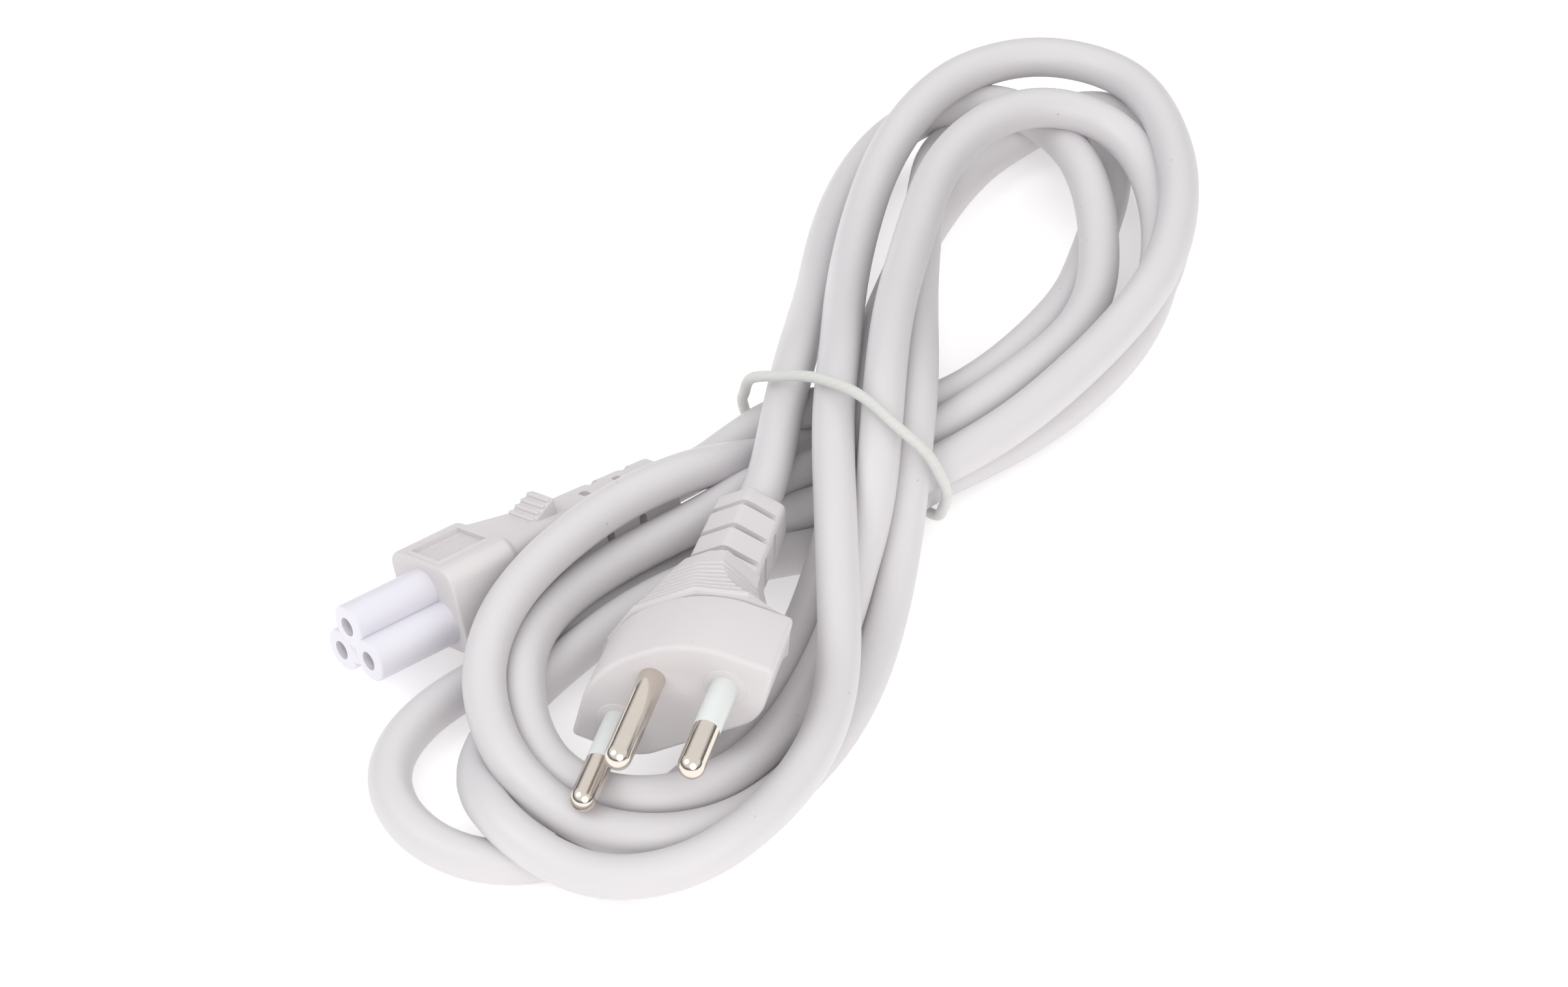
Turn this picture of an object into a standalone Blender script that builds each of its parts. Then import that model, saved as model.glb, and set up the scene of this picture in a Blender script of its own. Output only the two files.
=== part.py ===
"""Mains lead wound into a flat hank, with a three-pin plug, a three-lobed connector and an elastic tie.

X runs along the hank, Z is up, and the origin is on the floor under the middle of the bundle.
"""
import math

import bmesh
import bpy
import numpy as np
from mathutils import Vector

# Clearances
FIT = 0.0003
CUT = 0.001

# Splines: the first runs smoothly beside its points, the second goes through them
SPLINE_FINENESS = 40
GUIDED = np.array([(-1, 3, -3, 1), (3, -6, 3, 0), (-3, 0, 3, 0), (1, 4, 1, 0)]) / 6
THROUGH = np.array([(-1, 3, -3, 1), (2, -5, 4, -1), (-1, 0, 1, 0), (0, 2, 0, 0)]) / 2

# Cord
CORD_DIAMETER = 0.0065
CORD_STRAIGHT = 0.007
CORD_BEVEL_RESOLUTION = 3
CORD_STEP = 0.020
CORD_STEP_BENDS = 0.6

# Elastic tie
TIE_DIAMETER = 0.0022
TIE_POINTS = 44

# Plug moulding, as seen on its pin face
PLUG_WIDTH = 0.036
PLUG_FLAT_WIDTH = 0.0195
PLUG_EARTH_SIDE = 0.0088
PLUG_OTHER_SIDE = 0.0077
PLUG_BLOCK_DEPTH = 0.0135
PLUG_GRIP_LENGTH = 0.0115
PLUG_GRIP_TOP_WIDTH = 0.0125
PLUG_EDGE = 0.0007
GRIP_SECTIONS = 5
GRIP_HOLLOW = 1.9

# Plug pins
PIN_DIAMETER = 0.004
PIN_LENGTH = 0.019
PIN_SPACING = 0.019
EARTH_OFFSET = 0.005
PIN_ROOT = 0.006
PIN_NECK_DIAMETER = 0.0024
SLEEVE_LENGTH = 0.0095
SLEEVE_ROOT = 0.0015
COLLAR_DIAMETER = 0.0064
COLLAR_HEIGHT = 0.0005
PIN_SEGMENTS = 24
TIP_STEPS = 5

# Strain reliefs: a sleeve round the cord with staggered slots in its sides
RELIEF_WALL = 0.0019
RELIEF_TAPER = 0.0007
SLOT_WIDTH = 0.0016
SLOT_DEPTH = 0.0015
SLOT_PITCH = 0.0052
PLUG_RELIEF_LENGTH = 0.021
PLUG_SLOTS = 3
CONNECTOR_RELIEF_LENGTH = 0.0175
CONNECTOR_SLOTS = 3

# Connector insert
NOSE_REACH = 0.014
NOSE_TENON = 0.004
LOBE_RADIUS = 0.0029
CONTACT_SPACING = 0.0076
CONTACT_RISE = 0.0047
LOBE_STEPS = 10
HOLE_DIAMETER = 0.0039
HOLE_DEPTH = 0.012
CONTACT_SETBACK = 0.0015
CONTACT_WALL = 0.0005

# Connector moulding
BLOCK_WIDTH = 0.017
BLOCK_HEIGHT = 0.014
BLOCK_LENGTH = 0.0135
BLOCK_CORNER = 0.003
WAIST_LENGTH = 0.0055
WAIST_WIDTH = 0.0125
WAIST_HEIGHT = 0.0105
GRIP_LENGTH = 0.008
GRIP_WIDTH = 0.0098
GRIP_RISE = 0.0028
GRIP_TOP_STEP = 0.0012
CORNER_STEPS = 4
WINDOW_SETBACK = 0.0035
WINDOW_LENGTH = 0.0085
WINDOW_WIDTH = 0.0088
WINDOW_DEPTH = 0.0005

# Places of the cord's two ends on the mouldings, and how the mouldings lie
PLUG_END = (-26.0, -6.5, 17.5)
PLUG_TURN = (-2.5, -33.0, -74.0)
CONNECTOR_END = (-19.5, 13.0, 7.65)
CONNECTOR_TURN = (-1.5, -17.0, -111.5)
BUNDLE_SHIFT = (0.84, -0.08, -0.01)

# Route of the cord's centre line in millimetres, from the plug to the connector.
# Half turns of the figure of eight follow one another, each out from the tie and back.
# Strands lie at 3.5 on the floor, at about 10 on one strand and at about 17 on two.
ROUTE = (
    # Upper loop from the plug, under the turns at its far end
    (-8, 0, 17), (4, 4.5, 18), (18, 10.5, 12.5), (32, 16.5, 7), (44, 22, 4.5), (56, 26, 4),
    (67, 27.5, 5), (75.5, 25, 7.5), (82, 18.5, 10), (85, 10, 11), (83, 1, 10.5), (78, -6.5, 10.5),
    (71, -12.5, 10), (61.5, -18.5, 10), (50, -24, 10.5), (38, -26, 11.5), (26, -24.5, 12.5),
    (14, -21.5, 12.5), (4, -17, 11.5), (-2.5, -11, 10),
    # Lower loop, innermost
    (-9, -4, 10), (-17, 0, 11), (-26, 3, 10.5), (-36, 8, 10), (-48, 12, 10), (-59, 12.5, 10.5),
    (-68, 9, 10.5), (-75.5, 3.5, 9), (-81, -4, 8.4), (-82.5, -12, 8.5), (-80.5, -20, 9.3),
    (-74.5, -25.5, 9), (-66, -28, 7.5), (-54.5, -28, 6), (-44, -27, 6.5),
    # Upper loop, over the top of the crossing
    (-34, -25.5, 8.5), (-26, -23.5, 12.5), (-18, -22, 17.5), (-8, -17.5, 23.5), (4, -11.5, 24),
    (20, -4, 22), (38, 2.5, 19), (54, 8, 18), (65, 9, 17.5), (74, 7, 17.5), (80.5, 2.5, 17),
    (84, -4.5, 15.5), (83, -12.5, 14), (77.5, -19.5, 12.5), (69.5, -25.5, 11.5), (58, -31, 10.5),
    (46, -33.5, 9), (34, -32, 7), (22, -28.5, 5.5), (11, -24, 5.5), (2, -20.5, 6.5), (-5, -17.5, 5.5),
    # Lower loop, round the outside
    (-12, -15, 4), (-19, -12, 5), (-26, -7, 7), (-34, -1, 6.5), (-44, 4.2, 6), (-57, 7.5, 5.5),
    (-69, 9.8, 4), (-79, 9, 4), (-87, 5, 6), (-93.5, -1.5, 9.5), (-97, -10, 9.5),
    (-96.5, -19, 7.5), (-93, -27, 8), (-86.5, -33.5, 9.5), (-78, -37, 11.5), (-68, -38, 12),
    (-57, -36.5, 12.5), (-46.5, -32.5, 14.5),
    # Upper loop, outermost
    (-35, -25.5, 17.5), (-22, -17.5, 21), (-8, -9, 23), (8, -1.5, 21), (24, 7, 15.5), (40, 14, 13),
    (55, 19, 13), (67, 21, 14), (78, 20, 15.5), (86, 17, 15.5), (93, 11, 15.5), (96.5, 3, 15),
    (95.5, -6, 15.5), (90.5, -13, 16), (83, -20, 16.5), (74, -26, 17), (64, -30.5, 17),
    (53, -33.5, 16.5), (41, -33.5, 15.5), (29, -32, 14.5), (16, -29.5, 13.5), (4, -25.5, 13),
    (-5, -20, 12),
    # Lower loop, farthest out on the floor
    (-10.5, -14, 10), (-14, -8, 8), (-17.5, -3.5, 5.5), (-23, 1, 3.8), (-34, 6, 3.5), (-48, 10.7, 3.5),
    (-61, 15.3, 3.5), (-72, 19.7, 3.5), (-82, 21, 3.5), (-90.5, 18.5, 3.5), (-96.5, 12, 3.5),
    (-99, 3.5, 3.5), (-97.5, -5, 3.5), (-92, -12, 3.5), (-84, -17, 3.5), (-74, -20, 3.5),
    (-61, -21.5, 3.5), (-47, -21, 3.5),
    # Upper loop, inside on the floor
    (-35, -19.5, 5), (-25.5, -18, 9), (-17, -16, 14.5), (-8, -13.5, 17.5), (4, -8.5, 18),
    (16, -2.5, 14.5), (29, 3, 9), (41, 7, 5.5), (52, 10, 4), (62, 11.5, 3.5), (71, 12, 3.5),
    (79, 11.5, 3.5), (85.5, 8.5, 4.8), (91, 3, 8.5), (94, -4.5, 9.5), (92.5, -12, 7.2),
    (87.5, -18, 4.5), (78, -23.5, 3.5), (68, -27, 3.5), (57, -28.5, 3.5), (46.5, -27, 3.5), (36, -23, 3.5),
    (25.5, -16.5, 3.5), (14.5, -9.5, 4.5), (5, -3.5, 6),
    # Lower loop, over the connector's tail
    (-3, 1, 6.3), (-12, 4.3, 10.5), (-22, 7, 15.8), (-34, 12, 17), (-48, 15, 17), (-61, 16, 16),
    (-71.5, 13.5, 13.5), (-79, 8, 12), (-85, 1, 11), (-88.5, -7.5, 9.8), (-89, -16.5, 8.8),
    (-85.5, -25, 8.5), (-78.5, -31, 7.5), (-69, -34, 6), (-57, -34.5, 4.5), (-46, -33.5, 3.5),
    (-35, -31.5, 3.8),
    # Upper loop, last pass
    (-24, -28.5, 7.5), (-14, -25, 14), (-5, -21, 18.5), (5, -16.5, 20), (18, -9.5, 17), (33, -1, 13.5),
    (48, 6.5, 11.5), (60, 12, 10.5), (69.5, 16, 8), (78.5, 18, 4.2), (87, 17, 3.5), (93, 11.5, 3.5),
    (95, 3.5, 3.5), (92, -4, 3.5), (85, -9, 3.5), (76, -12, 3.5), (65, -15, 3.8), (54, -18, 5),
    (42, -19.5, 8), (30, -19.5, 10), (19, -17, 10),
    # Out under the crossing to the connector
    (10.5, -12, 10), (5.5, -4.5, 12), (2.5, 3.5, 11), (-4.5, 8.5, 8),
)

# Route of the tie's centre line in millimetres, once round the hank
TIE_ROUTE = (
    (-2.6, 8, 14.5), (-4.2, 6.4, 19.5), (-4.5, 1.6, 23.2), (-5.5, -4, 26.2), (-6.5, -9.5, 27.7),
    (-7.6, -14.5, 28), (-9, -20.2, 26.6), (-8, -25, 22.5), (-6.2, -26.8, 17), (-3.8, -26.6, 11.5),
    (-1.8, -25, 6.3), (0.2, -22.6, 2.2), (2, -16.5, 1.3), (2.8, -8, 1.3), (3.3, 0, 1.3), (3.2, 6.5, 1.8),
    (1.8, 10.8, 5.5), (-0.4, 11, 10.8),
)


def clear_scene():
    for item in list(bpy.data.objects):
        bpy.data.objects.remove(item, do_unlink=True)


def make_material(name, colour, roughness, metallic=0.0):
    material = bpy.data.materials.new(name)
    material.use_nodes = True
    shader = material.node_tree.nodes["Principled BSDF"]
    shader.inputs["Base Color"].default_value = (*colour, 1.0)
    shader.inputs["Roughness"].default_value = roughness
    shader.inputs["Metallic"].default_value = metallic
    return material


def add_object(name, data, material=None, parent=None, place=(0, 0, 0)):
    item = bpy.data.objects.new(name, data)
    bpy.context.scene.collection.objects.link(item)
    if material:
        data.materials.append(material)
    item.parent = parent
    item.location = place
    return item


def add_anchor(name, place, turn=(0, 0, 0), parent=None):
    anchor = add_object(name, None, parent=parent, place=Vector(place) * 0.001)
    anchor.empty_display_size = 0.01
    anchor.rotation_euler = [math.radians(angle) for angle in turn]
    return anchor


def smooth(mesh, angle=32):
    mesh.shade_smooth()
    mesh.set_sharp_from_angle(angle=math.radians(angle))


def finish_mesh(name, shape):
    bmesh.ops.recalc_face_normals(shape, faces=shape.faces)
    mesh = bpy.data.meshes.new(name)
    shape.to_mesh(mesh)
    shape.free()
    smooth(mesh)
    return mesh


def loft(name, sections):
    """A closed solid through sections of equally many points."""
    shape = bmesh.new()
    rings = []
    for section in sections:
        rings.append([shape.verts.new(point) for point in section])
    for ring, following in zip(rings, rings[1:]):
        for index in range(len(ring)):
            after = (index + 1) % len(ring)
            shape.faces.new((ring[index], ring[after], following[after], following[index]))
    shape.faces.new(rings[0])
    shape.faces.new(rings[-1])
    return finish_mesh(name, shape)


def turned(name, profile, segments=PIN_SEGMENTS):
    """A closed solid turned round the Y axis from a closed profile of (radius, y) points."""
    shape = bmesh.new()
    chain = [shape.verts.new((radius, y, 0)) for radius, y in profile]
    edges = []
    for start, end in zip(chain, chain[1:]):
        edges.append(shape.edges.new((start, end)))
    if profile[0][0] > 0:
        edges.append(shape.edges.new((chain[-1], chain[0])))
    bmesh.ops.spin(shape, geom=chain + edges, cent=(0, 0, 0), axis=(0, 1, 0),
                   angle=math.tau, steps=segments, use_merge=True)
    bmesh.ops.remove_doubles(shape, verts=shape.verts, dist=1e-7)
    return finish_mesh(name, shape)


def add_bevel(item, width, segments=2, angle=24):
    bevel = item.modifiers.new("edges", "BEVEL")
    bevel.width = width
    bevel.segments = segments
    bevel.limit_method = "ANGLE"
    bevel.angle_limit = math.radians(angle)
    bevel.miter_outer = "MITER_SHARP"


def boolean(item, other, operation="DIFFERENCE"):
    """Cuts, or joins, another object, which stays as a hidden guide."""
    other.hide_render = True
    other.display_type = "WIRE"
    step = item.modifiers.new(other.name, "BOOLEAN")
    step.operation = operation
    step.solver = "EXACT"
    step.object = other


def box(name, low, high):
    x0, y0, z0 = low
    x1, y1, z1 = high
    ends = []
    for y in (y0, y1):
        ends.append([(x0, y, z0), (x1, y, z0), (x1, y, z1), (x0, y, z1)])
    return loft(name, ends)


def spline(points, basis, closed=False):
    """A dense path on a cubic spline, from four points at a time."""
    points = np.array(points, float)
    if closed:
        points = np.vstack([points[-1:], points, points[:2]])
    else:
        points = np.vstack([2 * points[0] - points[1], points, 2 * points[-1] - points[-2]])
    share = np.arange(SPLINE_FINENESS)[:, None] / SPLINE_FINENESS
    powers = np.hstack([share ** 3, share ** 2, share, np.ones_like(share)])
    path = [powers @ basis @ points[index:index + 4] for index in range(len(points) - 3)]
    if not closed:
        path.append(points[-2:-1])
    return np.vstack(path)


def thin_out(path, step, bends):
    """Points along a dense path, closer together where it bends, with one span of its own at each end."""
    run = np.diff(path, axis=0)
    length = np.linalg.norm(run, axis=1)
    heading = run / length[:, None]
    turn = np.zeros(len(path))
    turn[1:-1] = np.linalg.norm(np.diff(heading, axis=0), axis=1)
    effort = np.concatenate([[0], np.cumsum(length / step + turn[1:] / bends)])
    first, last = SPLINE_FINENESS, len(path) - 1 - SPLINE_FINENESS
    count = math.ceil((effort[last] - effort[first]) / 2)
    inner = np.interp(np.linspace(effort[first], effort[last], count + 1), effort, np.arange(len(path)))
    return [path[0], *[path[round(mark)] for mark in inner], path[-1]]


def tube(name, points, diameter, closed=False, resolution=CORD_BEVEL_RESOLUTION):
    curve = bpy.data.curves.new(name, "CURVE")
    curve.dimensions = "3D"
    curve.bevel_depth = diameter / 2
    curve.bevel_resolution = resolution
    curve.use_fill_caps = not closed
    spline = curve.splines.new("POLY")
    spline.points.add(len(points) - 1)
    for target, point in zip(spline.points, points):
        target.co = (*point, 1.0)
    spline.use_cyclic_u = closed
    spline.use_smooth = True
    return curve


def cord_route(plug_anchor, connector_anchor):
    """The route's points in metres, straight for a short way out of both strain reliefs."""
    plug_out = plug_anchor.matrix_basis.to_3x3() @ Vector((0, 1, 0))
    connector_out = connector_anchor.matrix_basis.to_3x3() @ Vector((0, 1, 0))
    start = plug_anchor.location + plug_out * FIT
    end = connector_anchor.location + connector_out * FIT
    points = [start, start + plug_out * CORD_STRAIGHT]
    points += [Vector(point) * 0.001 for point in ROUTE]
    points += [end + connector_out * CORD_STRAIGHT, end]
    return [tuple(point) for point in points]


def relief_half(share):
    """Half the width of a strain relief, from its root at 0 to its end at 1."""
    return CORD_DIAMETER / 2 + RELIEF_WALL - RELIEF_TAPER * share


def add_slots(body, length, count, width, sides_offset):
    """Staggered slots in a strain relief whose end is at the anchor, half of them in each half of its height."""
    for level, shift in ((1, 0), (-1, 0.5)):
        for number in range(count):
            y = -length + sides_offset + (number + shift) * SLOT_PITCH
            if y + SLOT_WIDTH > -SLOT_WIDTH:
                continue
            for side in (1, -1):
                inner = width / 2 - SLOT_DEPTH
                outer = width / 2 + CUT
                x_low, x_high = sorted((side * inner, side * outer))
                z_low, z_high = sorted((level * FIT, level * width))
                name = f"{body.name}_slot_{level}_{number}_{side}"
                cutter = add_object(name, box(name, (x_low, y, z_low), (x_high, y + SLOT_WIDTH, z_high)),
                                    parent=body.parent)
                boolean(body, cutter)


def hexagon(y, middle, top_flat, bottom_flat, top, bottom):
    """A flat hexagonal section, wider in the middle than on its flats."""
    return [(-middle, y, 0), (-bottom_flat, y, -bottom), (bottom_flat, y, -bottom),
            (middle, y, 0), (top_flat, y, top), (-top_flat, y, top)]


def plug_sections():
    """Sections from the pin face back to the end of the strain relief, whose end is at y = 0."""
    face = -(PLUG_BLOCK_DEPTH + PLUG_GRIP_LENGTH + PLUG_RELIEF_LENGTH)
    shoulder = face + PLUG_BLOCK_DEPTH
    flat = PLUG_FLAT_WIDTH / 2
    sections = []
    for y in (face, shoulder):
        sections.append(hexagon(y, PLUG_WIDTH / 2, flat, flat, PLUG_EARTH_SIDE, PLUG_OTHER_SIDE))
    neck = relief_half(0)
    for number in range(1, GRIP_SECTIONS + 1):
        along = number / GRIP_SECTIONS
        left = (1 - along) ** GRIP_HOLLOW
        y = shoulder + PLUG_GRIP_LENGTH * along
        sections.append(hexagon(
            y,
            neck + (PLUG_WIDTH / 2 - neck) * left,
            neck * 0.8 + (PLUG_GRIP_TOP_WIDTH / 2 - neck * 0.8) * left,
            neck * 0.8 + (flat - neck * 0.8) * left,
            neck + (PLUG_EARTH_SIDE - neck) * (1 - along),
            neck + (PLUG_OTHER_SIDE - neck) * (1 - along)))
    end = relief_half(1)
    sections.append(hexagon(0, end, end * 0.8, end * 0.8, end, end))
    return sections, face


def pin_profile(root, neck_end):
    """Half outline of a pin from its root, at y = root, to its round tip in front of the face."""
    radius = PIN_DIAMETER / 2
    profile = [(0, root)]
    if neck_end is not None:
        profile += [(PIN_NECK_DIAMETER / 2, root), (PIN_NECK_DIAMETER / 2, neck_end)]
        profile.append((radius, neck_end))
    else:
        profile.append((radius, root))
    for number in range(TIP_STEPS + 1):
        angle = math.pi / 2 * number / TIP_STEPS
        profile.append((radius * math.cos(angle), -PIN_LENGTH + radius - radius * math.sin(angle)))
    profile[-1] = (0, -PIN_LENGTH)
    return profile


def build_plug(anchor, materials):
    sections, face = plug_sections()
    body = add_object("plug_body", loft("plug_body", sections), materials["jacket"], anchor)
    add_bevel(body, PLUG_EDGE)
    hole_radius = PIN_DIAMETER / 2 + FIT
    for side, name in ((-1, "line"), (1, "neutral")):
        place = (side * PIN_SPACING / 2, face, 0)
        collar = add_object(f"collar_{name}", turned("collar", [
            (0, CUT), (COLLAR_DIAMETER / 2, CUT), (COLLAR_DIAMETER / 2, -COLLAR_HEIGHT), (0, -COLLAR_HEIGHT)]),
            parent=anchor, place=place)
        collar.rotation_euler.y = math.pi / PIN_SEGMENTS
        boolean(body, collar, "UNION")
        socket = add_object(f"socket_{name}", turned("socket", [
            (0, PIN_ROOT), (PIN_NECK_DIAMETER / 2 + FIT, PIN_ROOT), (PIN_NECK_DIAMETER / 2 + FIT, SLEEVE_ROOT),
            (hole_radius, SLEEVE_ROOT), (hole_radius, -CUT), (0, -CUT)]), parent=anchor, place=place)
        boolean(body, socket)
        add_object(f"pin_{name}", turned(f"pin_{name}", pin_profile(PIN_ROOT - FIT, -SLEEVE_LENGTH - FIT)),
                   materials["nickel"], anchor, place)
        neck = PIN_NECK_DIAMETER / 2 + FIT
        add_object(f"sleeve_{name}", turned(f"sleeve_{name}", [
            (neck, SLEEVE_ROOT - FIT), (neck, -SLEEVE_LENGTH), (PIN_DIAMETER / 2, -SLEEVE_LENGTH),
            (PIN_DIAMETER / 2, SLEEVE_ROOT - FIT)]), materials["sleeve"], anchor, place)
    place = (0, face, EARTH_OFFSET)
    socket = add_object("socket_earth", turned("socket_earth", [
        (0, PIN_ROOT), (hole_radius, PIN_ROOT), (hole_radius, -CUT), (0, -CUT)]), parent=anchor, place=place)
    boolean(body, socket)
    add_object("pin_earth", turned("pin_earth", pin_profile(PIN_ROOT - FIT, None)),
               materials["nickel"], anchor, place)
    add_slots(body, PLUG_RELIEF_LENGTH, PLUG_SLOTS, relief_half(0.5) * 2, SLOT_PITCH * 0.4)


def lobe_centres():
    """Places of the earth, line and neutral holes in the nose, as (name, x, z)."""
    half = CONTACT_SPACING / 2
    return (("earth", 0, CONTACT_RISE / 2), ("line", -half, -CONTACT_RISE / 2),
            ("neutral", half, -CONTACT_RISE / 2))


def nose_outline(y, grow):
    """Three round lobes, with a shallow groove between each two."""
    radius = LOBE_RADIUS + grow
    outline = []
    centres = [Vector((x, z)) for name, x, z in lobe_centres()]
    for index, centre in enumerate(centres):
        before, after = centres[index - 1], centres[(index + 1) % 3]
        from_before = math.atan2(*reversed(across(before, centre)))
        to_after = math.atan2(*reversed(across(centre, after)))
        sweep = (to_after - from_before) % math.tau
        for number in range(LOBE_STEPS + 1):
            angle = from_before + sweep * number / LOBE_STEPS
            outline.append((centre.x + radius * math.cos(angle), y, centre.y + radius * math.sin(angle)))
        groove = (centre + after) / 2 + across(centre, after) * (radius - LOBE_RADIUS * 0.24)
        outline.append((groove.x, y, groove.y))
    return outline


def across(start, end):
    """The direction square to the way from start to end, pointing out of the nose."""
    way = (end - start).normalized()
    return Vector((way.y, -way.x))


def rounded_rectangle(y, half_width, top, bottom, corner):
    points = []
    corners = ((half_width - corner, top - corner, 0), (-half_width + corner, top - corner, 90),
               (-half_width + corner, -bottom + corner, 180), (half_width - corner, -bottom + corner, 270))
    for x, z, start in corners:
        for number in range(CORNER_STEPS + 1):
            angle = math.radians(start + 90 * number / CORNER_STEPS)
            points.append((x + corner * math.cos(angle), y, z + corner * math.sin(angle)))
    return points


def build_connector(anchor, materials):
    length = BLOCK_LENGTH + WAIST_LENGTH + GRIP_LENGTH + CONNECTOR_RELIEF_LENGTH
    front = -length
    tip = front - NOSE_REACH
    block_end = front + BLOCK_LENGTH
    waist = block_end + WAIST_LENGTH
    relief = waist + GRIP_LENGTH
    sections = [
        rounded_rectangle(front, BLOCK_WIDTH / 2, BLOCK_HEIGHT / 2, BLOCK_HEIGHT / 2, BLOCK_CORNER),
        rounded_rectangle(block_end, BLOCK_WIDTH / 2, BLOCK_HEIGHT / 2, BLOCK_HEIGHT / 2, BLOCK_CORNER),
        rounded_rectangle(waist, WAIST_WIDTH / 2, WAIST_HEIGHT / 2, WAIST_HEIGHT / 2, BLOCK_CORNER),
        rounded_rectangle(relief, relief_half(0), relief_half(0), relief_half(0), BLOCK_CORNER),
        rounded_rectangle(0, relief_half(1), relief_half(1), relief_half(1), BLOCK_CORNER)]
    body = add_object("connector_body", loft("connector_body", sections), materials["jacket"], anchor)

    grip_top = WAIST_HEIGHT / 2 + GRIP_RISE
    grip = add_object("thumb_grip", loft("thumb_grip", [
        thumb_section(waist - GRIP_RISE, WAIST_HEIGHT / 2 - CUT),
        thumb_section(relief - GRIP_TOP_STEP, grip_top - GRIP_TOP_STEP),
        thumb_section(relief, relief_half(0) - CUT)]), parent=anchor)
    boolean(body, grip, "UNION")

    window = add_object("window", box(
        "window",
        (-WINDOW_WIDTH / 2, front + WINDOW_SETBACK, BLOCK_HEIGHT / 2 - WINDOW_DEPTH),
        (WINDOW_WIDTH / 2, front + WINDOW_SETBACK + WINDOW_LENGTH, BLOCK_HEIGHT / 2 + CUT)), parent=anchor)
    boolean(body, window)

    pocket = add_object("nose_pocket", loft("nose_pocket", [
        nose_outline(front - CUT, FIT), nose_outline(front + NOSE_TENON, FIT)]), parent=anchor)
    boolean(body, pocket)
    add_slots(body, CONNECTOR_RELIEF_LENGTH, CONNECTOR_SLOTS, relief_half(0.5) * 2, SLOT_PITCH * 0.3)

    nose = add_object("connector_nose", loft("connector_nose", [
        nose_outline(tip, 0), nose_outline(front + NOSE_TENON - FIT, 0)]), materials["insert"], anchor)
    contact_length = HOLE_DEPTH - CONTACT_SETBACK - FIT
    outer = HOLE_DIAMETER / 2 - FIT
    for name, x, z in lobe_centres():
        hole = add_object(f"hole_{name}", turned("hole", [
            (0, HOLE_DEPTH), (HOLE_DIAMETER / 2, HOLE_DEPTH), (HOLE_DIAMETER / 2, -CUT), (0, -CUT)]),
            parent=anchor, place=(x, tip, z))
        boolean(nose, hole)
        add_object(f"contact_{name}", turned(f"contact_{name}", [
            (outer - CONTACT_WALL, contact_length), (outer - CONTACT_WALL, 0), (outer, 0),
            (outer, contact_length)]), materials["brass"], anchor, (x, tip + CONTACT_SETBACK, z))


def thumb_section(y, top):
    half = GRIP_WIDTH / 2
    return [(-half, y, 0), (half, y, 0), (half, y, top), (-half, y, top)]


def main():
    clear_scene()
    materials = {
        "jacket": make_material("white_pvc", (0.77, 0.73, 0.74), 0.45),
        "insert": make_material("hard_white_plastic", (0.73, 0.72, 0.80), 0.35),
        "sleeve": make_material("sleeve_plastic", (0.78, 0.82, 0.79), 0.4),
        "nickel": make_material("nickel_plate", (0.62, 0.58, 0.52), 0.2, 1.0),
        "brass": make_material("contact_brass", (0.6, 0.45, 0.2), 0.35, 1.0),
        "elastic": make_material("elastic", (0.74, 0.80, 0.74), 0.7)}
    bundle = add_anchor("bundle", BUNDLE_SHIFT)
    plug_anchor = add_anchor("plug_anchor", PLUG_END, PLUG_TURN, bundle)
    connector_anchor = add_anchor("connector_anchor", CONNECTOR_END, CONNECTOR_TURN, bundle)
    build_plug(plug_anchor, materials)
    build_connector(connector_anchor, materials)

    route = spline(cord_route(plug_anchor, connector_anchor), GUIDED)
    cord = tube("cord", thin_out(route, CORD_STEP, CORD_STEP_BENDS), CORD_DIAMETER)
    add_object("cord", cord, materials["jacket"], bundle)
    loop = spline([Vector(point) * 0.001 for point in TIE_ROUTE], THROUGH, closed=True)
    picked = [loop[round(index * len(loop) / TIE_POINTS)] for index in range(TIE_POINTS)]
    add_object("tie_band", tube("tie_band", picked, TIE_DIAMETER, closed=True, resolution=2),
               materials["elastic"], bundle)


main()
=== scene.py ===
"""White mains lead in a flat hank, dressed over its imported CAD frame, under the photograph's camera.

Run as a script, or read as an add-on: one operator makes each piece or group of like pieces.
"""
import math

import bmesh
import bpy
import numpy as np
from bpy.props import FloatProperty, FloatVectorProperty, IntProperty, PointerProperty
from mathutils import Euler, Matrix, Vector


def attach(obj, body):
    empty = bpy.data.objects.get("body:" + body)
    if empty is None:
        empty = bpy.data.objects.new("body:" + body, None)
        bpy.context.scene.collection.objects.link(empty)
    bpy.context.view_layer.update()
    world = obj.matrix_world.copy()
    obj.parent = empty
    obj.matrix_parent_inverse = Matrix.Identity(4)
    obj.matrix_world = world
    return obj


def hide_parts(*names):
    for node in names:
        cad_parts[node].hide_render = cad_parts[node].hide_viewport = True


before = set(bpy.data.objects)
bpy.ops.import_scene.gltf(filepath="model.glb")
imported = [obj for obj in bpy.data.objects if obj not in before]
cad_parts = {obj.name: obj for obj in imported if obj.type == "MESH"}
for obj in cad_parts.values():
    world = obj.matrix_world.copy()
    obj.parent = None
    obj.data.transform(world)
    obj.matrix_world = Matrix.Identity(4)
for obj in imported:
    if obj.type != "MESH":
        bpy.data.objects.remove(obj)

bl_info = {
    "name": "Mains lead",
    "version": (1, 0, 0),
    "blender": (4, 5, 0),
    "location": "View3D > Sidebar > Lead",
    "description": "Builds a wound mains lead with its plug, connector and elastic tie",
    "category": "Add Mesh",
}

MM = 0.001

# Where the cord's two ends lie on the mouldings, and how the mouldings are turned, as in the CAD
BUNDLE_SHIFT = Vector((0.84, -0.08, -0.01))
PLUG_END, PLUG_TURN = (-26.0, -6.5, 17.5), (-2.5, -33.0, -74.0)
CONNECTOR_END, CONNECTOR_TURN = (-19.5, 13.0, 7.65), (-1.5, -17.0, -111.5)

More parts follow.
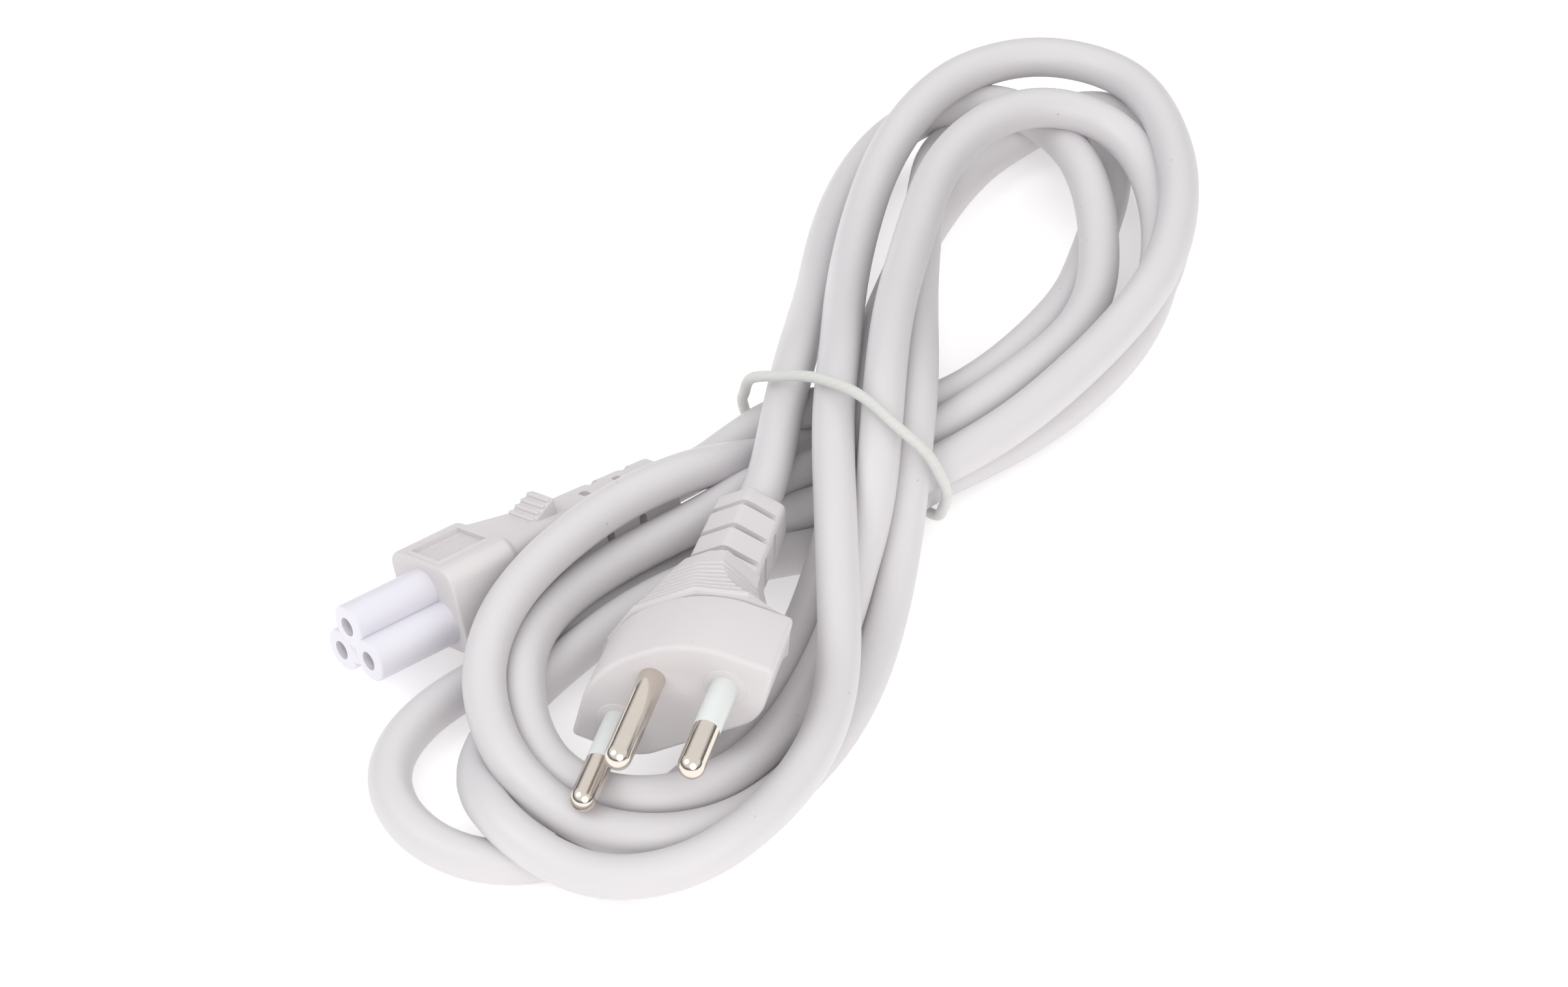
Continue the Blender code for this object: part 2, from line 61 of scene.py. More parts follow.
# The photograph's camera, in millimetres from the bundle's own middle
EYE = (-583.4, -333.5, 602.2)
AIM = (-4.16, 0.92, 0.0)
LENS = 134.55
SENSOR = 36

# Splines: the first runs smoothly beside its points, the second goes through them
SPLINE_FINENESS = 40
CORD_FINENESS = 5
TIE_FINENESS = 4
GUIDED = np.array([(-1, 3, -3, 1), (3, -6, 3, 0), (-3, 0, 3, 0), (1, 4, 1, 0)]) / 6
THROUGH = np.array([(-1, 3, -3, 1), (2, -5, 4, -1), (-1, 0, 1, 0), (0, 2, 0, 0)]) / 2

# Cord
FIT = 0.3 * MM
CORD_STRAIGHT = 7 * MM
HIDDEN_END = 15 * MM

# Plug moulding, as seen on its pin face, with the cord's end at y = 0
PLUG_FACE = -46 * MM
PLUG_SHOULDER = -33.5 * MM
PLUG_NECK = -19.5 * MM
PLUG_TAIL = -2.5 * MM
PLUG_WIDTH = 36 * MM
PLUG_EARTH_FLAT = 8.2 * MM
PLUG_OTHER_FLAT = 11 * MM
PLUG_EARTH_SIDE = 9.6 * MM
PLUG_OTHER_SIDE = 7.4 * MM
PIN_SETBACK = 2 * MM
SLEEVE_SETBACK = 1.2 * MM
COLLAR_RISE = 0.2 * MM

# The grip's half widths and heights at the neck, what each gains at the shoulder, and how steeply
GRIP_PANEL = 4.9 * MM, 8.6 * MM, 2.2
GRIP_TOP = 6.6 * MM, 2.4 * MM, 1.2
GRIP_PANEL_DROP = 0.9 * MM, 3.2 * MM, 2
GRIP_MIDDLE = 6.9 * MM, 10.2 * MM, 2
GRIP_LOWER_EDGE = 4.9 * MM, 8 * MM, 2
GRIP_LOWER_DEPTH = 5.2 * MM, 0.6 * MM, 1
GRIP_BOTTOM = 3 * MM, 7 * MM, 2
GRIP_DEPTH = 6.1 * MM, 1.1 * MM, 1
GRIP_RIDGE = 0.5 * MM
RIDGES_START, RIDGES_SHARE = 0.04, 0.72
RIDGE_STEPS = (0.15, 0), (0.4, GRIP_RIDGE), (0.75, GRIP_RIDGE), (0.95, 0)
LIP_START = 0.85
PIN_SPACING = 19 * MM
EARTH_OFFSET = 5 * MM
COLLAR_DIAMETER = 6.4 * MM

# Strain reliefs: half sizes of their six-sided and their four-sided section
PLUG_RELIEF_SIDE = 6.9 * MM
PLUG_RELIEF_FLAT = 3.1 * MM
PLUG_RELIEF_HEIGHT = 5.5 * MM
PLUG_SLOT_WIDTH = 1.15 * MM
PLUG_SLOTS_ABOVE = (-6.6 * MM, -12.2 * MM, -17.6 * MM)
PLUG_SLOTS_BELOW = (-9.6 * MM, -15.2 * MM)
SLOT_REACH = 9 * MM
SLOT_FLOOR = 0.3 * MM
SLOT_ROUNDING = 0.32
RELIEF_ROOT = 5.15 * MM
RELIEF_END = 4.6 * MM
RELIEF_CORE = 1.9 * MM
CONNECTOR_NOTCHES = (-5.4 * MM, -11.4 * MM)
CONNECTOR_HOLES = (-8.3 * MM, -14.5 * MM)

# Connector, with the cord's end at y = 0, and how far the photograph shows it rolled from its solid
CONNECTOR_ROLL = -6
CONNECTOR_FRONT = -44.5 * MM
CONNECTOR_BLOCK_END = -33 * MM
CONNECTOR_WAIST = -26.5 * MM
CONNECTOR_TAIL = -19.5 * MM
CONNECTOR_END_FACE = -1 * MM
BLOCK_WIDTH = 17 * MM
BLOCK_HEIGHT = 14 * MM
WAIST_WIDTH = 12.5 * MM
WAIST_HEIGHT = 11.6 * MM
BLOCK_STEP = 0.8 * MM
BLOCK_STEP_DROP = 0.7 * MM
THUMB_LENGTH = 6.2 * MM
THUMB_WIDTH = 7.4 * MM
THUMB_HEIGHT = 8 * MM
THUMB_TAPER = 0.18
WINDOW_SETBACK = 1.4 * MM
WINDOW_LENGTH = 8.6 * MM
WINDOW_WIDTH = 7.8 * MM
WINDOW_DEPTH = 0.5 * MM
WINDOW_RIM = 0.7 * MM
NOSE_REACH = 14 * MM
LOBE_RADIUS = 3.4 * MM
CONTACT_SPACING = 7.6 * MM
CONTACT_RISE = 4.7 * MM
HOLE_DEPTH = 12 * MM
WEB_FILL = 0.4
CONTACT_SETBACK = 1.5 * MM
CONTACT_WALL = 0.5 * MM

# Route of the cord's centre line in millimetres, from the plug to the connector.
# Half turns of the figure of eight follow one another, each out from the tie and back.
# Strands lie at 3.5 on the floor, at about 10 on one strand and at about 17 on two.
ROUTE = (
    # Upper loop from the plug, under the turns at its far end
    (-8, 0, 17), (4, 4.5, 18), (18, 10.5, 12.5), (32, 16.5, 7), (44, 22, 4.5), (56, 26, 4),
    (67, 27.5, 5), (75.5, 25, 7.5), (82, 18.5, 10), (85, 10, 11), (83, 1, 10.5), (78, -6.5, 10.5),
    (71, -12.5, 10), (61.5, -18.5, 10), (50, -24, 10.5), (38, -26, 11.5), (26, -24.5, 12.5),
    (14, -21.5, 12.5), (4, -17, 11.5), (-2.5, -11, 10),
    # Lower loop, innermost
    (-9, -4, 10), (-17, 0, 11), (-26, 3, 10.5), (-36, 8, 10), (-48, 12, 10), (-59, 12.5, 10.5),
    (-68, 9, 10.5), (-75.5, 3.5, 9), (-81, -4, 8.4), (-82.5, -12, 8.5), (-80.5, -20, 9.3),
    (-74.5, -25.5, 9), (-66, -28, 7.5), (-54.5, -28, 6), (-44, -27, 6.5),
    # Upper loop, over the top of the crossing
    (-34, -25.5, 8.5), (-26, -23.5, 12.5), (-18, -22, 17.5), (-8, -17.5, 23.5), (4, -11.5, 24),
    (20, -4, 22), (38, 2.5, 19), (54, 8, 18), (65, 9, 17.5), (74, 7, 17.5), (80.5, 2.5, 17),
    (84, -4.5, 15.5), (83, -12.5, 14), (77.5, -19.5, 12.5), (69.5, -25.5, 11.5), (58, -31, 10.5),
    (46, -33.5, 9), (34, -32, 7), (22, -28.5, 5.5), (11, -24, 5.5), (2, -20.5, 6.5), (-5, -17.5, 5.5),
    # Lower loop, round the outside
    (-12, -15, 4), (-19, -12, 5), (-26, -7, 7), (-34, -1, 6.5), (-44, 4.2, 6), (-57, 7.5, 5.5),
    (-69, 9.8, 4), (-79, 9, 4), (-87, 5, 6), (-93.5, -1.5, 9.5), (-97, -10, 9.5),
    (-96.5, -19, 7.5), (-93, -27, 8), (-86.5, -33.5, 9.5), (-78, -37, 11.5), (-68, -38, 12),
    (-57, -36.5, 12.5), (-46.5, -32.5, 14.5),
    # Upper loop, outermost
    (-35, -25.5, 17.5), (-22, -17.5, 21), (-8, -9, 23), (8, -1.5, 21), (24, 7, 15.5), (40, 14, 13),
    (55, 19, 13), (67, 21, 14), (78, 20, 15.5), (86, 17, 15.5), (93, 11, 15.5), (96.5, 3, 15),
    (95.5, -6, 15.5), (90.5, -13, 16), (83, -20, 16.5), (74, -26, 17), (64, -30.5, 17),
    (53, -33.5, 16.5), (41, -33.5, 15.5), (29, -32, 14.5), (16, -29.5, 13.5), (4, -25.5, 13),
    (-5, -20, 12),
    # Lower loop, farthest out on the floor
    (-10.5, -14, 10), (-14, -8, 8), (-17.5, -3.5, 5.5), (-23, 1, 3.8), (-34, 6, 3.5), (-48, 10.7, 3.5),
    (-61, 15.3, 3.5), (-72, 19.7, 3.5), (-82, 21, 3.5), (-90.5, 18.5, 3.5), (-96.5, 12, 3.5),
    (-99, 3.5, 3.5), (-97.5, -5, 3.5), (-92, -12, 3.5), (-84, -17, 3.5), (-74, -20, 3.5),
    (-61, -21.5, 3.5), (-47, -21, 3.5),
    # Upper loop, inside on the floor
    (-35, -19.5, 5), (-25.5, -18, 9), (-17, -16, 14.5), (-8, -13.5, 17.5), (4, -8.5, 18),
    (16, -2.5, 14.5), (29, 3, 9), (41, 7, 5.5), (52, 10, 4), (62, 11.5, 3.5), (71, 12, 3.5),
    (79, 11.5, 3.5), (85.5, 8.5, 4.8), (91, 3, 8.5), (94, -4.5, 9.5), (92.5, -12, 7.2),
    (87.5, -18, 4.5), (78, -23.5, 3.5), (68, -27, 3.5), (57, -28.5, 3.5), (46.5, -27, 3.5), (36, -23, 3.5),
    (25.5, -16.5, 3.5), (14.5, -9.5, 4.5), (5, -3.5, 6),
    # Lower loop, over the connector's tail
    (-3, 1, 6.3), (-12, 4.3, 10.5), (-22, 7, 15.8), (-34, 12, 17), (-48, 15, 17), (-61, 16, 16),
    (-71.5, 13.5, 13.5), (-79, 8, 12), (-85, 1, 11), (-88.5, -7.5, 9.8), (-89, -16.5, 8.8),
    (-85.5, -25, 8.5), (-78.5, -31, 7.5), (-69, -34, 6), (-57, -34.5, 4.5), (-46, -33.5, 3.5),
    (-35, -31.5, 3.8),
    # Upper loop, last pass
    (-24, -28.5, 7.5), (-14, -25, 14), (-5, -21, 18.5), (5, -16.5, 20), (18, -9.5, 17), (33, -1, 13.5),
    (48, 6.5, 11.5), (60, 12, 10.5), (69.5, 16, 8), (78.5, 18, 4.2), (87, 17, 3.5), (93, 11.5, 3.5),
    (95, 3.5, 3.5), (92, -4, 3.5), (85, -9, 3.5), (76, -12, 3.5), (65, -15, 3.8), (54, -18, 5),
    (42, -19.5, 8), (30, -19.5, 10), (19, -17, 10),
    # Out under the crossing to the connector
    (10.5, -12, 10), (5.5, -4.5, 12), (2.5, 3.5, 11), (-4.5, 8.5, 8),
)

# Route of the tie's centre line in millimetres, once round the hank
TIE_ROUTE = (
    (-2.6, 9.4, 15), (-4.0, 7.2, 20), (-4.5, 1.6, 23.2), (-5.5, -4, 26.2), (-6.5, -9.5, 27.7),
    (-7.6, -14.5, 28), (-9, -20.2, 26.6), (-8, -25, 22.5), (-6.2, -26.8, 17), (-3.8, -26.6, 11.5),
    (-1.8, -25, 6.3), (0.2, -22.6, 2.2), (2, -16.5, 1.3), (2.8, -8, 1.3), (3.3, 0, 1.3), (3.2, 6.5, 1.8),
    (1.8, 10.8, 5.5), (-0.4, 11, 10.8),
)


def srgb(code):
    """A hex colour as linear red, green and blue."""
    shares = [int(code[start:start + 2], 16) / 255 for start in (1, 3, 5)]
    return tuple(share / 12.92 if share <= 0.04045 else ((share + 0.055) / 1.055) ** 2.4
                 for share in shares)


class LeadSizes(bpy.types.PropertyGroup):
    """Sizes of the lead's pieces."""
    cord_diameter: FloatProperty(
        name="Cord diameter", description="Across the outer jacket",
        default=6.5 * MM, precision=4, unit="LENGTH")
    cord_length: FloatProperty(
        name="Cord length", description="From inside one strain relief to inside the other",
        default=2.038, precision=3, unit="LENGTH")
    tie_diameter: FloatProperty(
        name="Tie diameter", description="Across the elastic that holds the hank",
        default=1.7 * MM, precision=4, unit="LENGTH")
    pin_diameter: FloatProperty(
        name="Pin diameter", description="Across each of the plug's pins",
        default=4 * MM, precision=4, unit="LENGTH")
    pin_length: FloatProperty(
        name="Pin length", description="From the plug's face to the tip of a pin",
        default=19 * MM, precision=4, unit="LENGTH")
    sleeve_length: FloatProperty(
        name="Sleeve length", description="From the plug's face to the end of a pin's sleeve",
        default=9.5 * MM, precision=4, unit="LENGTH")
    grip_ridges: IntProperty(
        name="Grip ridges", description="Cross ridges on each side of the plug's grip",
        default=8, min=0, max=12)
    thumb_ridges: IntProperty(
        name="Thumb ridges", description="Cross ridges on the connector's thumb grip",
        default=5, min=0, max=8)
    hole_diameter: FloatProperty(
        name="Hole diameter", description="Across each hole in the connector's nose",
        default=3 * MM, precision=4, unit="LENGTH")


class LeadColours(bpy.types.PropertyGroup):
    """Main colours of the lead's pieces."""
    jacket: FloatVectorProperty(
        name="Cord jacket", description="Plasticised PVC of the cord",
        subtype="COLOR", size=3, min=0, max=1, default=srgb("#D2D0D2"))
    moulding: FloatVectorProperty(
        name="Mouldings", description="PVC of the plug and the connector",
        subtype="COLOR", size=3, min=0, max=1, default=srgb("#D3CFD0"))
    insert: FloatVectorProperty(
        name="Nose", description="Hard plastic of the connector's nose",
        subtype="COLOR", size=3, min=0, max=1, default=srgb("#DBDAE2"))
    sleeve: FloatVectorProperty(
        name="Pin sleeves", description="Insulation on the roots of two pins",
        subtype="COLOR", size=3, min=0, max=1, default=srgb("#DADFDD"))
    elastic: FloatVectorProperty(
        name="Elastic", description="The tie round the hank",
        subtype="COLOR", size=3, min=0, max=1, default=srgb("#CFD0CD"))
    nickel: FloatVectorProperty(
        name="Pins", description="Nickel plate on the pins",
        subtype="COLOR", size=3, min=0, max=1, default=srgb("#DDD5CB"))
    brass: FloatVectorProperty(
        name="Contacts", description="Bare brass inside the nose",
        subtype="COLOR", size=3, min=0, max=1, default=srgb("#B8935A"))
    floor: FloatVectorProperty(
        name="Floor", description="The studio's pale floor",
        subtype="COLOR", size=3, min=0, max=1, default=srgb("#F6F5F5"))


# ---------------------------------------------------------------- materials

def add(tree, kind, inputs=None, **settings):
    """Adds a node. An input given as another node's output is linked, and any other is set."""
    node = tree.nodes.new("ShaderNode" + kind)
    for name, value in settings.items():
        setattr(node, name, value)
    for name, value in (inputs or {}).items():
        if isinstance(value, bpy.types.NodeSocket):
            tree.links.new(value, node.inputs[name])
        else:
            node.inputs[name].default_value = value
    return node


def start_material(name, **values):
    """A material whose shader has these values, its tree and its Object coordinates."""
    material = bpy.data.materials.new(name)
    material.use_nodes = True
    tree = material.node_tree
    shader = tree.nodes["Principled BSDF"]
    for socket, value in values.items():
        shader.inputs[socket.replace("_", " ")].default_value = value
    return material, tree, shader, add(tree, "TexCoord").outputs["Object"]


def shade(colour, share=1.0):
    """A colour at this share of its brightness, with its alpha."""
    return (*(part * share for part in colour), 1)


def white_pvc(name, colour, roughness, grain, grain_depth, specks):
    """Plasticised PVC: soft, half matt, with the tool's fine grain and a few grey specks picked up in use."""
    material, tree, shader, where = start_material(name, Roughness=roughness, IOR=1.53)
    cloud = add(tree, "TexNoise", {"Vector": where, "Scale": 1 / (22 * MM), "Detail": 3.0, "Roughness": 0.55})
    tone = add(tree, "Mix", {"Factor": cloud.outputs["Fac"], 6: shade(colour), 7: shade(colour, 0.955)},
               data_type="RGBA")
    # Specks of a third of a millimetre, far apart
    spots = add(tree, "TexVoronoi", {"Vector": where, "Scale": 1 / (5 * MM)}, feature="F1")
    spot = add(tree, "MapRange", {"Value": spots.outputs["Distance"], "From Min": 0.035, "From Max": 0.055,
                                  "To Min": specks, "To Max": 0.0})
    dirty = add(tree, "Mix", {"Factor": spot.outputs["Result"], 6: tone.outputs[2], 7: shade(colour, 0.45)},
                data_type="RGBA")
    tree.links.new(dirty.outputs[2], shader.inputs["Base Color"])
    # Rubbed places are a little shinier
    sheen = add(tree, "MapRange", {"Value": cloud.outputs["Fac"], "From Min": 0.3, "From Max": 0.7,
                                   "To Min": roughness - 0.05, "To Max": roughness + 0.06})
    tree.links.new(sheen.outputs["Result"], shader.inputs["Roughness"])
    fine = add(tree, "TexNoise", {"Vector": where, "Scale": 1 / grain, "Detail": 4.0, "Roughness": 0.6})
    bump = add(tree, "Bump", {"Height": fine.outputs["Fac"], "Distance": grain_depth, "Strength": 1.0})
    tree.links.new(bump.outputs["Normal"], shader.inputs["Normal"])


def hard_plastic(name, colour, roughness, ior, mottle):
    """Hard moulded thermoplastic: smoother and shinier than PVC, with slight flow marks."""
    material, tree, shader, where = start_material(name, Roughness=roughness, IOR=ior)
    cloud = add(tree, "TexNoise", {"Vector": where, "Scale": 1 / (6 * MM), "Detail": 2.0, "Distortion": 0.6})
    tone = add(tree, "Mix", {"Factor": cloud.outputs["Fac"], 6: shade(colour), 7: shade(colour, 1 - mottle)},
               data_type="RGBA")
    tree.links.new(tone.outputs[2], shader.inputs["Base Color"])
    fine = add(tree, "TexNoise", {"Vector": where, "Scale": 1 / (0.35 * MM), "Detail": 3.0})
    bump = add(tree, "Bump", {"Height": fine.outputs["Fac"], "Distance": 0.01 * MM, "Strength": 1.0})
    tree.links.new(bump.outputs["Normal"], shader.inputs["Normal"])


def plated_metal(name, colour, roughness, tarnish):
    """Turned and plated metal: bright, with tumbling marks and slight darkening in patches."""
    material, tree, shader, where = start_material(name, Roughness=roughness, Metallic=1.0)
    cloud = add(tree, "TexNoise", {"Vector": where, "Scale": 1 / (3 * MM), "Detail": 4.0})
    tone = add(tree, "Mix", {"Factor": cloud.outputs["Fac"], 6: shade(colour), 7: shade(colour, 1 - tarnish)},
               data_type="RGBA")
    tree.links.new(tone.outputs[2], shader.inputs["Base Color"])
    scratches = add(tree, "TexNoise", {"Vector": where, "Scale": 1 / (0.5 * MM), "Detail": 5.0,
                                       "Roughness": 0.7})
    rubbed = add(tree, "MapRange", {"Value": scratches.outputs["Fac"], "From Min": 0.3, "From Max": 0.7,
                                    "To Min": roughness - 0.04, "To Max": roughness + 0.08})
    tree.links.new(rubbed.outputs["Result"], shader.inputs["Roughness"])
    bump = add(tree, "Bump", {"Height": scratches.outputs["Fac"], "Distance": 0.004 * MM, "Strength": 1.0})
    tree.links.new(bump.outputs["Normal"], shader.inputs["Normal"])


def knitted_elastic(name, colour):
    """Elastic with a fine knitted cover: quite matt, with short threads about 0.4 mm apart."""
    material, tree, shader, where = start_material(name, Roughness=0.75, IOR=1.5, Sheen_Weight=0.25)
    threads = add(tree, "TexWave", {"Vector": where, "Scale": 1 / (0.45 * MM) / math.tau, "Distortion": 2.5,
                                    "Detail": 2.0}, bands_direction="DIAGONAL")
    tone = add(tree, "Mix", {"Factor": threads.outputs["Fac"], 6: shade(colour, 0.97), 7: shade(colour)},
               data_type="RGBA")
    tree.links.new(tone.outputs[2], shader.inputs["Base Color"])
    bump = add(tree, "Bump", {"Height": threads.outputs["Fac"], "Distance": 0.02 * MM, "Strength": 0.5})
    tree.links.new(bump.outputs["Normal"], shader.inputs["Normal"])


def finishes():
    """Every finish of the lead, made once."""
    if "plasticised_pvc_jacket" not in bpy.data.materials:
        colours = bpy.context.scene.lead_colours
        # The extruded jacket is the smoothest PVC, the mouldings are duller and the label window is sparked
        white_pvc("plasticised_pvc_jacket", colours.jacket, 0.44, 0.5 * MM, 0.012 * MM, 0.35)
        white_pvc("moulded_pvc", colours.moulding, 0.5, 0.28 * MM, 0.016 * MM, 0.12)
        white_pvc("spark_grained_pvc", colours.moulding, 0.6, 0.6 * MM, 0.2 * MM, 0.0)
        hard_plastic("moulded_pbt_nose", colours.insert, 0.36, 1.55, 0.04)
        hard_plastic("polyamide_pin_sleeve", colours.sleeve, 0.4, 1.53, 0.03)
        plated_metal("nickel_plated_brass", colours.nickel, 0.13, 0.1)
        plated_metal("bare_brass", colours.brass, 0.32, 0.2)
        knitted_elastic("knitted_elastic", colours.elastic)
    return bpy.data.materials


# ---------------------------------------------------------------- modelling by operators

def deselect():
    """Leaves edit mode, if it is on, with nothing selected."""
    if bpy.context.mode != "OBJECT":
        bpy.ops.object.mode_set(mode="OBJECT")
    bpy.ops.object.select_all(action="DESELECT")


def pick(item):
    """Selects this object alone and makes it the active one."""
    deselect()
    item.select_set(True)
    bpy.context.view_layer.objects.active = item


def settle():
    """Puts the new object's place, turn and scale in its mesh."""
    bpy.ops.object.transform_apply(location=True, rotation=True, scale=True)
    return bpy.context.object


def bar(name, size, place, turn=(0, 0, 0)):
    """A box of this size round this place."""
    deselect()
    bpy.ops.mesh.primitive_cube_add(size=1, location=place, rotation=turn, scale=size)
    item = settle()
    item.name = name
    return item


def rod(name, sides, diameter, start, end, x=0.0, z=0.0):
    """A round or many-sided rod along Y, from start to end."""
    deselect()
    bpy.ops.mesh.primitive_cylinder_add(
        vertices=sides, radius=diameter / 2, depth=end - start, location=(x, (start + end) / 2, z),
        rotation=(math.pi / 2, math.pi / 2, 0))
    item = settle()
    item.name = name
    return item


def choose(item, test, kind="FACE"):
    """In edit mode, selects what has its middle and its normal, or an edge its way, pass the test."""
    bpy.ops.mesh.select_mode(type=kind)
    bpy.ops.mesh.select_all(action="DESELECT")
    shape = bmesh.from_edit_mesh(item.data)
    shape.normal_update()
    if kind == "FACE":
        for face in shape.faces:
            face.select_set(bool(test(face.calc_center_median(), face.normal)))
    elif kind == "EDGE":
        for edge in shape.edges:
            first, last = (corner.co for corner in edge.verts)
            edge.select_set(bool(test((first + last) / 2, (last - first).normalized())))
    else:
        for corner in shape.verts:
            corner.select_set(bool(test(corner.co, corner.normal)))
    shape.select_flush_mode()
    bmesh.update_edit_mesh(item.data)


def edit(item):
    """Opens this object alone in edit mode."""
    pick(item)
    bpy.ops.object.mode_set(mode="EDIT")


def round_edges(item, width, segments=3, angle=30):
    """A bevel on every edge sharper than this angle, applied."""
    pick(item)
    bevel = item.modifiers.new("edges", "BEVEL")
    bevel.width = width
    bevel.segments = segments
    bevel.limit_method = "ANGLE"
    bevel.angle_limit = math.radians(angle)
    bpy.ops.object.modifier_apply(modifier=bevel.name)


def cut(item, other, operation="DIFFERENCE"):
    """Cuts another object out of this one, or joins it on, and removes the other."""
    pick(item)
    step = item.modifiers.new("cut", "BOOLEAN")
    step.operation = operation
    step.solver = "EXACT"
    step.object = other
    bpy.ops.object.modifier_apply(modifier=step.name)
    bpy.data.objects.remove(other, do_unlink=True)


def join(item, others):
    """Makes the others part of this object."""
    pick(item)
    for other in others:
        other.select_set(True)
    bpy.ops.object.join()


def moulding_frame(end, turn):
    """The place of a moulding whose origin is at the cord's end, with the cord leaving along its Y."""
    place = (Vector(end) + BUNDLE_SHIFT) * MM
    return Matrix.Translation(place) @ Euler([math.radians(angle) for angle in turn]).to_matrix().to_4x4()


def finish_piece(item, name, finish, node, place, angle=35):
    """Places, shades and names a finished piece, and gives it its finish and its body."""
    pick(item)
    item.matrix_world = place
    settle()
    bpy.ops.object.shade_smooth_by_angle(angle=math.radians(angle))
    item.name = name
    item.data.name = name
    if not item.data.materials:
        item.data.materials.append(finishes()[finish])
    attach(item, "root")
    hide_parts(node)


def spline(points, basis, closed=False):
    """A dense path on a cubic spline, from four points at a time."""
    points = np.array(points, float)
    if closed:
        points = np.vstack([points[-1:], points, points[:2]])
    else:
        points = np.vstack([2 * points[0] - points[1], points, 2 * points[-1] - points[-2]])
    share = np.arange(SPLINE_FINENESS)[:, None] / SPLINE_FINENESS
    powers = np.hstack([share ** 3, share ** 2, share, np.ones_like(share)])
    path = [powers @ basis @ points[first:first + 4] for first in range(len(points) - 3)]
    if not closed:
        path.append(points[-2:-1])
    return np.vstack(path)


def round_line(name, points, diameter, fineness, closed=False):
    """A curve of this thickness through the points."""
    curve = bpy.data.curves.new(name, "CURVE")
    curve.dimensions = "3D"
    curve.bevel_depth = diameter / 2
    curve.bevel_resolution = fineness
    curve.use_fill_caps = not closed
    line = curve.splines.new("POLY")
    line.points.add(len(points) - 1)
    line.points.foreach_set("co", np.hstack([points, np.ones((len(points), 1))]).ravel())
    line.use_cyclic_u = closed
    line.use_smooth = True
    item = bpy.data.objects.new(name, curve)
    bpy.context.scene.collection.objects.link(item)
    return item


# ---------------------------------------------------------------- cord and tie

class LEAD_OT_cord(bpy.types.Operator):
    """Lay the cord along its route, from inside the plug's strain relief to inside the connector's"""
    bl_idname = "lead.cord"
    bl_label = "Cord"

    def execute(self, context):
        sizes = context.scene.lead_sizes
        plug, connector = moulding_frame(PLUG_END, PLUG_TURN), moulding_frame(CONNECTOR_END, CONNECTOR_TURN)
        start, start_way = plug.translation, plug.col[1].xyz
        end, end_way = connector.translation, connector.col[1].xyz
        guides = [start + start_way * FIT, start + start_way * (FIT + CORD_STRAIGHT)]
        guides += [(Vector(point) + BUNDLE_SHIFT) * MM for point in ROUTE]
        guides += [end + end_way * (FIT + CORD_STRAIGHT), end + end_way * FIT]
        path = spline(guides, GUIDED)
        path = np.vstack([start - start_way * HIDDEN_END, path[:-1:CORD_FINENESS], path[-1:],
                          end - end_way * HIDDEN_END])
        item = round_line("lead_cord", path, sizes.cord_diameter, 8)
        item.data.materials.append(finishes()["plasticised_pvc_jacket"])
        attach(item, "root")
        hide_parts("cord")
        return {"FINISHED"}


class LEAD_OT_tie(bpy.types.Operator):
    """Pass the elastic round the crossing of the hank"""
    bl_idname = "lead.tie"
    bl_label = "Elastic tie"

    def execute(self, context):
        guides = [(Vector(point) + BUNDLE_SHIFT) * MM for point in TIE_ROUTE]
        path = spline(guides, THROUGH, closed=True)[::TIE_FINENESS]
        item = round_line("elastic_tie", path, context.scene.lead_sizes.tie_diameter, 5, closed=True)
        item.data.materials.append(finishes()["knitted_elastic"])
        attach(item, "root")
        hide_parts("tie_band")
        return {"FINISHED"}


# ---------------------------------------------------------------- plug

def shape_ring(item, y, corners):
    """Brings the ring of corners at y to these half widths and heights, from the top pair down."""
    ring = [corner.co.copy() for corner in bmesh.from_edit_mesh(item.data).verts
            if abs(corner.co.y - y) < 1e-5 and corner.co.x > 0]
    for now, (x, z) in zip(sorted(ring, key=lambda place: -place.z), corners):
        choose(item, lambda place, facing: abs(place.y - y) < 1e-5 and abs(place.z - now.z) < 1e-6
               and abs(abs(place.x) - now.x) < 1e-6, "VERT")
        bpy.ops.transform.resize(value=(x / now.x, 1, 1), center_override=(0, 0, 0))
        bpy.ops.transform.translate(value=(0, 0, z - now.z))


def many_sided(name, rings):
    """A rod along Y through rings of (y, half widths and heights of its pairs of corners from the top)."""
    y, following = rings[0][0], rings[1][0]
    item = rod(name, 2 * len(rings[0][1]), PLUG_WIDTH, y, following)
    edit(item)
    for ring in rings[:2]:
        shape_ring(item, *ring)
    for reach, corners in rings[2:]:
        choose(item, lambda place, facing: place.y > following - 1e-5)
        bpy.ops.mesh.extrude_region_move(TRANSFORM_OT_translate={"value": (0, reach - following, 0)})
        following = reach
        shape_ring(item, following, corners)
    deselect()
    return item


def six_corners(middle, top_flat, bottom_flat, top, bottom):
    """A six-sided ring's half widths and heights, from the top pair down."""
    return ((top_flat, top), (middle, 0), (bottom_flat, -bottom))


def grip_ring(share, rise=0.0):
    """The grip's ring at a share of its way from the shoulder to the neck, raised by a ridge."""
    left = 1 - share
    panel, top, middle, lower_edge, lower, bottom, depth = (
        neck + gain * left ** steepness for neck, gain, steepness in (
            GRIP_PANEL, GRIP_TOP, GRIP_MIDDLE, GRIP_LOWER_EDGE, GRIP_LOWER_DEPTH, GRIP_BOTTOM, GRIP_DEPTH))
    drop, gain, steepness = GRIP_PANEL_DROP
    return (PLUG_SHOULDER + (PLUG_NECK - PLUG_SHOULDER) * share, (
        (panel * 0.45, top + rise), (panel + rise, top - drop - gain * left ** steepness + rise),
        (middle, -0.2 * MM), (lower_edge + rise, -lower - rise), (bottom, -depth - rise)))


